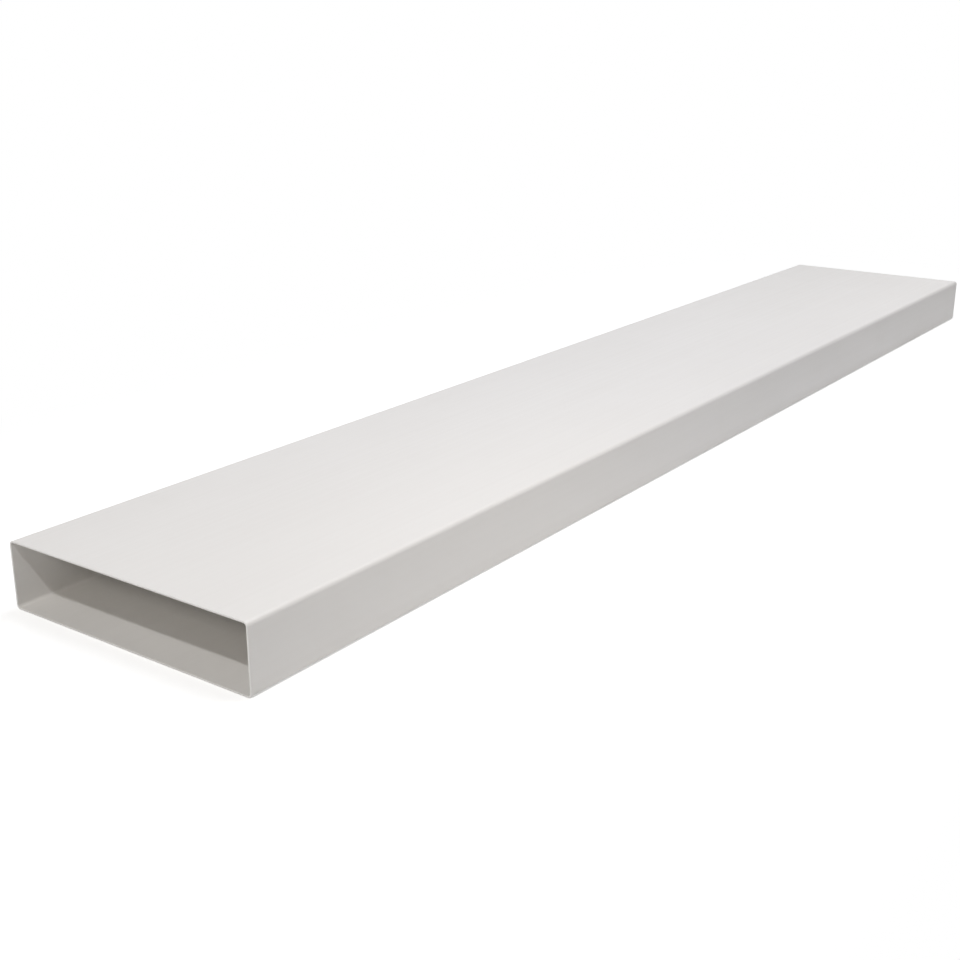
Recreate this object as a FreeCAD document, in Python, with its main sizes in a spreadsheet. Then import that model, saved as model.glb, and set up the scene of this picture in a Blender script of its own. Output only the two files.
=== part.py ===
"""Flat channel duct: one straight length of rectangular ventilation duct.

The real thing is a single extrusion in rigid white PVC: a thin rectangular tube with rounded long
corners, sawn square at both ends and open right through. It lies flat on one of its broad walls.

Frame, in millimetres: +X runs along the duct, +Y across its broad walls and +Z up.
The origin is under the middle of the duct, on the face that it lies on.
"""

import FreeCAD, Part
import math
import os
from collections import namedtuple

import Sketcher

# Driving dimensions: name, size in millimetres, what it measures.
SIZES = [
    ("duct_length", 1500.0, "sawn length, end to end"),
    ("duct_width", 256.0, "outside, across the broad walls"),
    ("duct_height", 57.5, "outside, from the lower broad wall to the upper one"),
    ("wall_thickness", 1.5, "all four walls"),
    ("outer_corner_radius", 4.0, "the four long corners, outside"),
    ("inner_corner_radius", 2.5, "the four long corners, inside"),
    ("rim_radius", 0.5, "easing of the sawn rims, inside and outside"),
]

# Two easings meet on each rim, so neither may take more than this share of the wall.
LARGEST_RIM_SHARE = 0.4

# How a sketch numbers the ends of a line or arc, and its own axes.
START_INDEX = 1
END_INDEX = 2
HORIZONTAL_AXIS_INDEX = -1
VERTICAL_AXIS_INDEX = -2

QUARTER_TURN = math.pi / 2

# Geometry numbers of one outline's four sides and of the first of its four equal corner arcs.
Outline = namedtuple("Outline", "lower right upper left corner")


def make_sizes_sheet(doc):
    """Makes the sheet of driving dimensions, one aliased row each."""
    sheet = doc.addObject("Spreadsheet::Sheet", "sizes")
    for row, (name, size, meaning) in enumerate(SIZES, start=1):
        sheet.set(f"A{row}", meaning)
        sheet.set(f"B{row}", str(size))
        sheet.setAlias(f"B{row}", name)
    doc.recompute()
    return sheet


def draw_outline(sketch, half_width, low, high, radius):
    """Draws a rounded rectangle, counter-clockwise from its lower side, centred across the sketch."""
    across = half_width - radius
    centres = [
        (across, low + radius),
        (across, high - radius),
        (-across, high - radius),
        (-across, low + radius),
    ]
    corners = []
    for number, (centre_across, centre_up) in enumerate(centres):
        centre = FreeCAD.Vector(centre_across, centre_up, 0)
        circle = Part.Circle(centre, FreeCAD.Vector(0, 0, 1), radius)
        first_angle = (number - 1) * QUARTER_TURN
        corners.append(Part.ArcOfCircle(circle, first_angle, first_angle + QUARTER_TURN))
    sides = []
    for number, corner in enumerate(corners):
        sides.append(Part.LineSegment(corners[number - 1].EndPoint, corner.StartPoint))
    side_numbers = sketch.addGeometry(sides, False)
    corner_numbers = sketch.addGeometry(corners, False)

    def constrain(*terms):
        sketch.addConstraint(Sketcher.Constraint(*terms))

    for number, side in enumerate(side_numbers):
        constrain("Tangent", corner_numbers[number - 1], END_INDEX, side, START_INDEX)
        constrain("Tangent", side, END_INDEX, corner_numbers[number], START_INDEX)
    for corner in corner_numbers[1:]:
        constrain("Equal", corner_numbers[0], corner)
    outline = Outline(*side_numbers, corner_numbers[0])
    constrain("Symmetric", outline.lower, START_INDEX, outline.lower, END_INDEX, VERTICAL_AXIS_INDEX)
    constrain("Horizontal", outline.upper)
    constrain("Vertical", outline.right)
    constrain("Vertical", outline.left)
    return outline


def draw_section(sketch, sheet):
    """Draws the duct's section, its outer outline and its bore, and binds it to the sheet."""
    half_width = sheet.duct_width / 2
    wall = sheet.wall_thickness
    outer = draw_outline(sketch, half_width, 0, sheet.duct_height, sheet.outer_corner_radius)
    bore = draw_outline(sketch, half_width - wall, wall, sheet.duct_height - wall, sheet.inner_corner_radius)
    on_floor = Sketcher.Constraint("PointOnObject", outer.lower, START_INDEX, HORIZONTAL_AXIS_INDEX)
    sketch.addConstraint(on_floor)

    def dimension(name, size_name, kind, *places):
        number = sketch.addConstraint(Sketcher.Constraint(kind, *places, sheet.get(size_name)))
        sketch.renameConstraint(number, name)
        sketch.setExpression(f"Constraints.{name}", f"sizes.{size_name}")

    dimension("width", "duct_width", "DistanceX", outer.left, START_INDEX, outer.right, START_INDEX)
    dimension("height", "duct_height", "DistanceY", outer.lower, START_INDEX, outer.upper, START_INDEX)
    dimension("outer_corner", "outer_corner_radius", "Radius", outer.corner)
    dimension("lower_wall", "wall_thickness", "DistanceY", outer.lower, START_INDEX, bore.lower, START_INDEX)
    dimension("upper_wall", "wall_thickness", "DistanceY", bore.upper, START_INDEX, outer.upper, START_INDEX)
    dimension("side_wall", "wall_thickness", "DistanceX", bore.right, START_INDEX, outer.right, START_INDEX)
    dimension("inner_corner", "inner_corner_radius", "Radius", bore.corner)


def sawn_faces(shape):
    """Names the two faces that are square to the duct's length."""
    return [
        f"Face{number}"
        for number, face in enumerate(shape.Faces, start=1)
        if face.normalAt(0, 0).cross(FreeCAD.Vector(1, 0, 0)).Length < FreeCAD.Base.Precision.angular()
    ]


def make_duct(doc, sheet):
    """Extrudes the section to both sides of the middle and eases the rims of the sawn ends."""
    body = doc.addObject("PartDesign::Body", "channel_duct")
    section = body.newObject("Sketcher::SketchObject", "section")
    cross_plane = next(plane for plane in body.Origin.OriginFeatures if plane.Role == "YZ_Plane")
    section.AttachmentSupport = [(cross_plane, "")]
    section.MapMode = "FlatFace"
    draw_section(section, sheet)

    extrusion = body.newObject("PartDesign::Pad", "extrusion")
    extrusion.Profile = section
    extrusion.SideType = "Symmetric"
    extrusion.setExpression("Length", "sizes.duct_length")
    doc.recompute()

    rims = body.newObject("PartDesign::Fillet", "eased_rims")
    rims.Base = (extrusion, sawn_faces(extrusion.Shape))
    rims.setExpression("Radius", f"min(sizes.rim_radius; {LARGEST_RIM_SHARE} * sizes.wall_thickness)")
    doc.recompute()
    return body


def check_model(doc, pieces):
    """Stops if any object failed to recompute or a piece is empty or not valid."""
    for item in doc.Objects:
        if "Invalid" in item.State or "Error" in item.State:
            raise RuntimeError(f"{item.Label} did not recompute: {item.State}")
    for piece in pieces:
        if piece.Shape.isNull() or not piece.Shape.isValid():
            raise RuntimeError(f"{piece.Label} has no valid shape")


doc = FreeCAD.newDocument("flat_channel_duct")
pieces = [make_duct(doc, make_sizes_sheet(doc))]
check_model(doc, pieces)
os.makedirs("parts", exist_ok=True)
for piece in pieces:
    piece.Shape.exportStep(f"parts/{piece.Label}.step")
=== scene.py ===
"""A straight length of flat channel duct in rigid white PVC, lying on a pale studio floor."""

import math

import bmesh
import bpy
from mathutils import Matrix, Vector


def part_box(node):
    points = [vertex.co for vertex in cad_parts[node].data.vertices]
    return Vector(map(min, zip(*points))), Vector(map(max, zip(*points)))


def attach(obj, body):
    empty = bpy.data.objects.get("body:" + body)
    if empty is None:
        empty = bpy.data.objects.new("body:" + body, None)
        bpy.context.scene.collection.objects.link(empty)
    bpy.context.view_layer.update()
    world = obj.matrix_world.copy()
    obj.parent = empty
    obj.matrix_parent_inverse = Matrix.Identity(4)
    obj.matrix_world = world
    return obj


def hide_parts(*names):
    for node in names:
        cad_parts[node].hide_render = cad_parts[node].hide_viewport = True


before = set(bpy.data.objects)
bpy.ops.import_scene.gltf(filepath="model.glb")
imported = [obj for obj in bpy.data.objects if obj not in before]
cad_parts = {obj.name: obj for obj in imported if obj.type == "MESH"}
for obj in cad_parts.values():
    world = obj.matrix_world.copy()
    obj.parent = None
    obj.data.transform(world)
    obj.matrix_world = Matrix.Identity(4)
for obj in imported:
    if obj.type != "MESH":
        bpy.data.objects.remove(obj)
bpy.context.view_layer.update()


# The duct is one length of rectangular tube. Rigid white PVC is pushed through a die as four thin walls
# with rounded long corners, cooled against a smooth metal sleeve, and sawn square to its sold length.
# The saw's burr is scraped off both rims, and nothing is fixed to the tube.

wall_thickness = 0.0015
corner_radius = 0.004
corner_steps = 12
rim_easing = 0.0005
rim_steps = 4

duct_low, duct_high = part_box("channel_duct")
duct_length, duct_width, duct_height = duct_high - duct_low
duct_middle = (duct_low + duct_high) / 2

# The section is drawn on the near end: a plate with its corners rounded and the bore cut out of it.
bpy.ops.object.select_all(action="DESELECT")
bpy.ops.mesh.primitive_plane_add(
    size=1,
    location=(duct_low.x, duct_middle.y, duct_middle.z),
    rotation=(0, -math.pi / 2, 0),
)
duct = bpy.context.object
duct.name = "duct_tube"
duct.scale = (duct_height, duct_width, 1)
bpy.ops.object.transform_apply(location=True, rotation=True, scale=True)
bpy.ops.object.mode_set(mode="EDIT")
bpy.ops.mesh.select_all(action="SELECT")
bpy.ops.mesh.bevel(offset=corner_radius, segments=corner_steps, affect="VERTICES")
bpy.ops.mesh.inset(thickness=wall_thickness)
bpy.ops.mesh.delete(type="FACE")

# The section is drawn out to the duct's length.
bpy.ops.mesh.select_all(action="SELECT")
bpy.ops.mesh.extrude_region_move(
    TRANSFORM_OT_translate={"value": (duct_length, 0, 0), "orient_type": "GLOBAL"},
)
bpy.ops.mesh.select_all(action="SELECT")
bpy.ops.mesh.normals_make_consistent(inside=False)


def is_sawn(face):
    """Tells the ring of faces on a sawn end from the walls, which run along the duct."""
    return abs(face.normal.x) > abs(face.normal.y) + abs(face.normal.z)


# The rims are eased where a sawn end meets a wall, outside and in the bore.
bpy.ops.mesh.select_mode(type="EDGE")
bpy.ops.mesh.select_all(action="DESELECT")
shape = bmesh.from_edit_mesh(duct.data)
for edge in shape.edges:
    one_face, other_face = edge.link_faces
    edge.select_set(is_sawn(one_face) != is_sawn(other_face))
bmesh.update_edit_mesh(duct.data)
bpy.ops.mesh.bevel(offset=rim_easing, segments=rim_steps, affect="EDGES")
bpy.ops.object.mode_set(mode="OBJECT")

# Normals that follow the largest faces keep the broad walls flat up to their rounded corners.
bpy.ops.object.shade_smooth()
flat_walls = duct.modifiers.new("flat_walls", "WEIGHTED_NORMAL")
bpy.ops.object.modifier_apply(modifier=flat_walls.name)


class Shade:
    """One output of a shader node. Arithmetic on shades adds Math nodes to the same tree."""

    def __init__(self, tree, output=None):
        self.tree = tree
        self.output = output

    def node(self, kind, settings=None, sockets=None, output=0):
        """Adds a node: first its settings, then the values or links of its sockets."""
        made = self.tree.nodes.new(kind)
        for name, setting in (settings or {}).items():
            setattr(made, name, setting)
        for name, value in (sockets or {}).items():
            if isinstance(value, Shade):
                self.tree.links.new(value.output, made.inputs[name])
            else:
                made.inputs[name].default_value = value
        return Shade(self.tree, made.outputs[output] if made.outputs else None)

    def other(self, name):
        """Another output of the same node."""
        return Shade(self.tree, self.output.node.outputs[name])

    def math(self, operation, *terms):
        """A Math node on these terms."""
        return self.node("ShaderNodeMath", {"operation": operation}, dict(enumerate(terms)))

    def __add__(self, term):
        return self.math("ADD", self, term)

    def __sub__(self, term):
        return self.math("SUBTRACT", self, term)

    def __rsub__(self, term):
        return self.math("SUBTRACT", term, self)

    def __mul__(self, term):
        return self.math("MULTIPLY", self, term)

    def __abs__(self):
        return self.math("ABSOLUTE", self)

    __radd__ = __add__
    __rmul__ = __mul__

    def least(self, term):
        """The smaller of this shade and a term."""
        return self.math("MINIMUM", self, term)

    def vector(self, operation, *terms, output=0):
        """A Vector Math node on this shade."""
        sockets = dict(enumerate((self, *terms)))
        return self.node("ShaderNodeVectorMath", {"operation": operation}, sockets, output)

    def step(self, start, end):
        """A smooth step from 0 at start to 1 at end."""
        return self.node(
            "ShaderNodeMapRange",
            {"interpolation_type": "SMOOTHSTEP"},
            {"Value": self, "From Min": start, "From Max": end},
        )

    def noise(self, grain, detail=2.0):
        """Soft noise about 0.5 on this place, with a grain size in metres along each axis."""
        scaled = self.node(
            "ShaderNodeMapping",
            {"vector_type": "POINT"},
            {"Vector": self, "Scale": [1 / size for size in grain]},
        )
        return self.node("ShaderNodeTexNoise", None, {"Vector": scaled, "Scale": 1.0, "Detail": detail})

    def blend(self, first, second):
        """The first colour where this shade is 0 and the second where it is 1."""
        return self.node("ShaderNodeMix", {"data_type": "RGBA"}, {0: self, 6: first, 7: second}, 2)


def new_shader_tree(holder):
    """An empty node tree for a material or a world, as a shade to add nodes from."""
    holder.use_nodes = True
    holder.node_tree.nodes.clear()
    return Shade(holder.node_tree)


white_pvc = (0.812, 0.797, 0.777, 1)
shaded_pvc = (0.764, 0.745, 0.720, 1)
# The sawn ends have their own matte colour, painted lighter than the skin to stand in for a highlight
# along the rims.
sawn_pvc_with_painted_highlight = (0.825, 0.817, 0.805, 1)
saw_mark_pvc = (0.765, 0.755, 0.741, 1)
pvc_ior = 1.53

# How much of the skin is shaded_pvc: everywhere, more or less of it from each kind of mark, and more in
# the bore, where it is painted shade.
usual_shade = 0.36
die_line_shade = 0.15
cloud_shade = 0.25
bore_painted_shade = 0.1

# Roughness, and what the marks add to it.
satin = 0.40
bore_satin = 0.50
rubbed_satin = 0.50
sawn_matte = 0.70
die_line_dulling = 0.08
handling_dulling = 0.06

# Grain sizes along the three axes, and depths, in metres.
hairline_grain = (6, 0.0008, 0.0008)
hairline_depth = 0.000008
die_line_grain = (20, 0.0038, 0.0038)
die_line_depth = 0.00001
sleeve_ripple_grain = (1.6, 0.030, 0.030)
sleeve_ripple_depth = 0.0002
cloud_grain = (0.22, 0.09, 0.09)
handling_grain = (0.05, 0.03, 0.03)
rub_grain = (0.06, 0.012, 0.012)

# The part of a noise's range over which marks come in.
mark_range = (0.3, 0.7)
handling_range = (0.52, 0.72)
rub_range = (0.45, 0.65)

# The saw's blade turns under the duct. A ring texture of scale 1 has this many rings to the metre.
blade_centre = (0, -0.06, -0.17)
saw_mark_depth = 0.00002
saw_mark_spacing = 0.0006
rings_per_metre = 20 / (2 * math.pi)

pvc = bpy.data.materials.new("white_pvc")
shade = new_shader_tree(pvc)
place = shade.node("ShaderNodeTexCoord", output="Object")
axes = shade.node("ShaderNodeSeparateXYZ", None, {0: place})

# Distances from the duct's middle: along it, across it, and up or down.
along = abs(axes - duct_middle.x)
across = abs(axes.other("Y") - duct_middle.y)
upright = abs(axes.other("Z") - duct_middle.z)
half_length = duct_length / 2
half_width = duct_width / 2
half_height = duct_height / 2

# How far a point lies under the outside of the section tells the bore from the outer skin. The bore is
# rougher, and painted darker as shade.
depth = (half_width - across).least(half_height - upright)
in_bore = depth.step(0.7 * wall_thickness, 0.9 * wall_thickness)

# A sawn end takes in its eased rims, and the blade marks only the flat ring between them.
on_sawn_end = along.step(half_length - rim_easing, half_length - 0.8 * rim_easing)
under_blade = along.step(half_length - 0.3 * rim_easing, half_length - 0.1 * rim_easing)

# The long corners rub against other lengths in the stack, so they are duller here and there.
past_flat = (across - (half_width - corner_radius)).least(upright - (half_height - corner_radius))
near_corner = past_flat.step(-corner_radius, 0.5 * corner_radius)
rubbed = near_corner * place.noise(rub_grain, detail=3).step(*rub_range)

# The die and the sleeve leave lines and a slow ripple along the duct, and handling leaves faint clouds.
hairlines = place.noise(hairline_grain)
die_lines = place.noise(die_line_grain, detail=3)
die_line_change = die_lines.step(*mark_range) - 0.5
sleeve_ripple = place.noise(sleeve_ripple_grain, detail=1)
cloud_change = place.noise(cloud_grain).step(*mark_range) - 0.5
handling = place.noise(handling_grain, detail=4).step(*handling_range)

from_blade = shade.node(
    "ShaderNodeMapping",
    None,
    {"Vector": place, "Location": [-distance for distance in blade_centre]},
)
saw_marks = shade.node(
    "ShaderNodeTexWave",
    {"wave_type": "RINGS", "rings_direction": "X"},
    {
        "Vector": from_blade,
        "Scale": 1 / (rings_per_metre * saw_mark_spacing),
        "Distortion": 2.5,
        "Detail": 2.0,
        "Detail Scale": 0.4,
    },
    "Fac",
)

# Die lines and clouds vary the tone at random; the bore's extra share of shaded_pvc is painted shade
# inside the duct.
skin_tone_and_painted_shade = usual_shade + die_line_shade * die_line_change + cloud_shade * cloud_change
skin_tone_and_painted_shade = skin_tone_and_painted_shade + bore_painted_shade * in_bore
skin = skin_tone_and_painted_shade.blend(white_pvc, shaded_pvc)
# The sawn ends' lighter colour is a painted highlight on the rims; the blade marks are darker rings across
# them.
sawn = (under_blade * saw_marks).blend(sawn_pvc_with_painted_highlight, saw_mark_pvc)
colour = on_sawn_end.blend(skin, sawn)
skin_satin = satin + (bore_satin - satin) * in_bore + (rubbed_satin - satin) * rubbed
skin_satin = skin_satin + die_line_dulling * die_line_change + handling_dulling * handling
roughness = skin_satin + on_sawn_end * (sawn_matte - skin_satin)
relief = hairline_depth * hairlines + die_line_depth * die_lines + sleeve_ripple_depth * sleeve_ripple
relief = relief + under_blade * (saw_mark_depth * saw_marks)
bump = shade.node("ShaderNodeBump", None, {"Strength": 1.0, "Distance": 1.0, "Height": relief})
surface = shade.node(
    "ShaderNodeBsdfPrincipled",
    None,
    {"Base Color": colour, "Roughness": roughness, "IOR": pvc_ior, "Normal": bump},
)
shade.node("ShaderNodeOutputMaterial", None, {"Surface": surface})
duct.data.materials.append(pvc)

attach(duct, "root")
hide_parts("channel_duct")


# The floor is a wide sheet of matte white paper, laid flat under the duct. Seen directly or in a
# reflection it is as white as its surroundings, except where the duct's shadow falls on it.

floor_size = 60
floor_drop = 0.0001
paper_grey = (0.8, 0.8, 0.8, 1)
white = (1, 1, 1, 1)
paper_glow = 0.5
shadow_reach = (0.08, 0.45)

bpy.ops.object.select_all(action="DESELECT")
bpy.ops.mesh.primitive_plane_add(size=floor_size, location=(0, 0, duct_low.z - floor_drop))
floor = bpy.context.object
floor.name = "studio_floor"
bpy.ops.object.transform_apply(location=True, rotation=True, scale=True)

paper = bpy.data.materials.new("white_paper")
paper.cycles.emission_sampling = "NONE"
shade = new_shader_tree(paper)


def seen(shade):
    """1 for light that reaches the camera straight, by reflection or through glass, and 0 for the rest."""
    camera_ray = shade.node("ShaderNodeLightPath", output="Is Camera Ray")
    return camera_ray + camera_ray.other("Is Glossy Ray") + camera_ray.other("Is Transmission Ray")


place = shade.node("ShaderNodeTexCoord", output="Object")
past_duct = place.vector("ABSOLUTE").vector("SUBTRACT", (duct_length / 2, duct_width / 2, 0))
from_duct = past_duct.vector("MAXIMUM", (0, 0, 0)).vector("LENGTH", output="Value")
matte = shade.node("ShaderNodeBsdfDiffuse", None, {"Color": paper_grey})
glow = shade.node("ShaderNodeEmission", None, {"Color": white, "Strength": paper_glow})
lit_paper = shade.node("ShaderNodeAddShader", None, {0: matte, 1: glow})
plain_white = shade.node("ShaderNodeEmission", None, {"Color": white, "Strength": 1.0})
beyond_shadow = from_duct.step(*shadow_reach)
seen_paper = shade.node("ShaderNodeMixShader", None, {0: beyond_shadow, 1: lit_paper, 2: plain_white})
surface = shade.node("ShaderNodeMixShader", None, {0: seen(shade), 1: matte, 2: seen_paper})
shade.node("ShaderNodeOutputMaterial", None, {"Surface": surface})
floor.data.materials.append(paper)


# The studio is a white room with soft light from all round. One small lamp over the near end draws the
# shadow inside the bore, and large soft boxes light the top, the sides and both open ends.

sky_strength = 0.05
cool = (0.92, 0.93, 1.0)
warm = (1.0, 0.955, 0.88)

sky = bpy.data.worlds.new("white_room")
sky.cycles.sampling_method = "NONE"
shade = new_shader_tree(sky)
soft_sky = shade.node("ShaderNodeBackground", None, {"Color": white, "Strength": sky_strength})
white_room = shade.node("ShaderNodeBackground", None, {"Color": white, "Strength": 1.0})
surface = shade.node("ShaderNodeMixShader", None, {0: seen(shade), 1: soft_sky, 2: white_room})
shade.node("ShaderNodeOutputWorld", None, {"Surface": surface})
bpy.context.scene.world = sky


def add_lamp(name, place, aim, size, power, colour=(1, 1, 1), in_reflections=True):
    """Hangs a round lamp at a place and points it at another."""
    bpy.ops.object.light_add(type="AREA", location=place)
    lamp = bpy.context.object
    lamp.name = name
    lamp.data.shape = "DISK"
    lamp.data.size = size
    lamp.data.energy = power
    lamp.data.color = colour
    lamp.rotation_euler = (Vector(aim) - Vector(place)).to_track_quat("-Z", "Y").to_euler()
    lamp.visible_camera = False
    lamp.visible_glossy = in_reflections


near_opening = (duct_low.x, duct_middle.y, duct_middle.z)
far_opening = (duct_high.x, duct_middle.y, duct_middle.z)

add_lamp("key_lamp", (-1.95, -0.66, 2.05), near_opening, size=0.12, power=17.9, in_reflections=False)
add_lamp("overhead_box", (0.1, -0.2, 1.6), (0.1, -0.1, 0), size=1.4, power=14.3, colour=cool)
add_lamp("shoulder_box", (-0.45, -0.4, 0.5), (-0.45, -0.1, 0.05), size=0.4, power=0.66, colour=warm)
add_lamp(
    "front_box",
    (-2.0, -0.25, 0.9),
    near_opening,
    size=0.35,
    power=6.8,
    colour=warm,
    in_reflections=False,
)
add_lamp("far_shoulder_box", (0.7, -0.4, 0.9), (0.7, -0.05, 0.05), size=0.6, power=1.5, colour=warm)
add_lamp("back_box", (0.3, 1.9, 0.9), (0, 0.1, 0.03), size=1.2, power=5, in_reflections=False)
add_lamp("far_box", (2.3, 0.1, 0.55), far_opening, size=0.8, power=8, in_reflections=False)


# The camera stands off the near right corner of the duct and looks along it, a little down. Its place
# and lens are fitted to the photograph's straight edges.

camera_from_corner = (-0.57823, -0.60841, 0.44137)
pitch_down = math.radians(18.96)
turn_left = math.radians(35.794)
sensor_width = 36
lens = 50.93

bpy.ops.object.camera_add(
    location=duct_low + Vector(camera_from_corner),
    rotation=(math.pi / 2 - pitch_down, 0, turn_left - math.pi / 2),
)
camera = bpy.context.object
camera.name = "photo_camera"
camera.data.sensor_width = sensor_width
camera.data.lens = lens
bpy.context.scene.camera = camera
bpy.context.scene.view_settings.view_transform = "Standard"
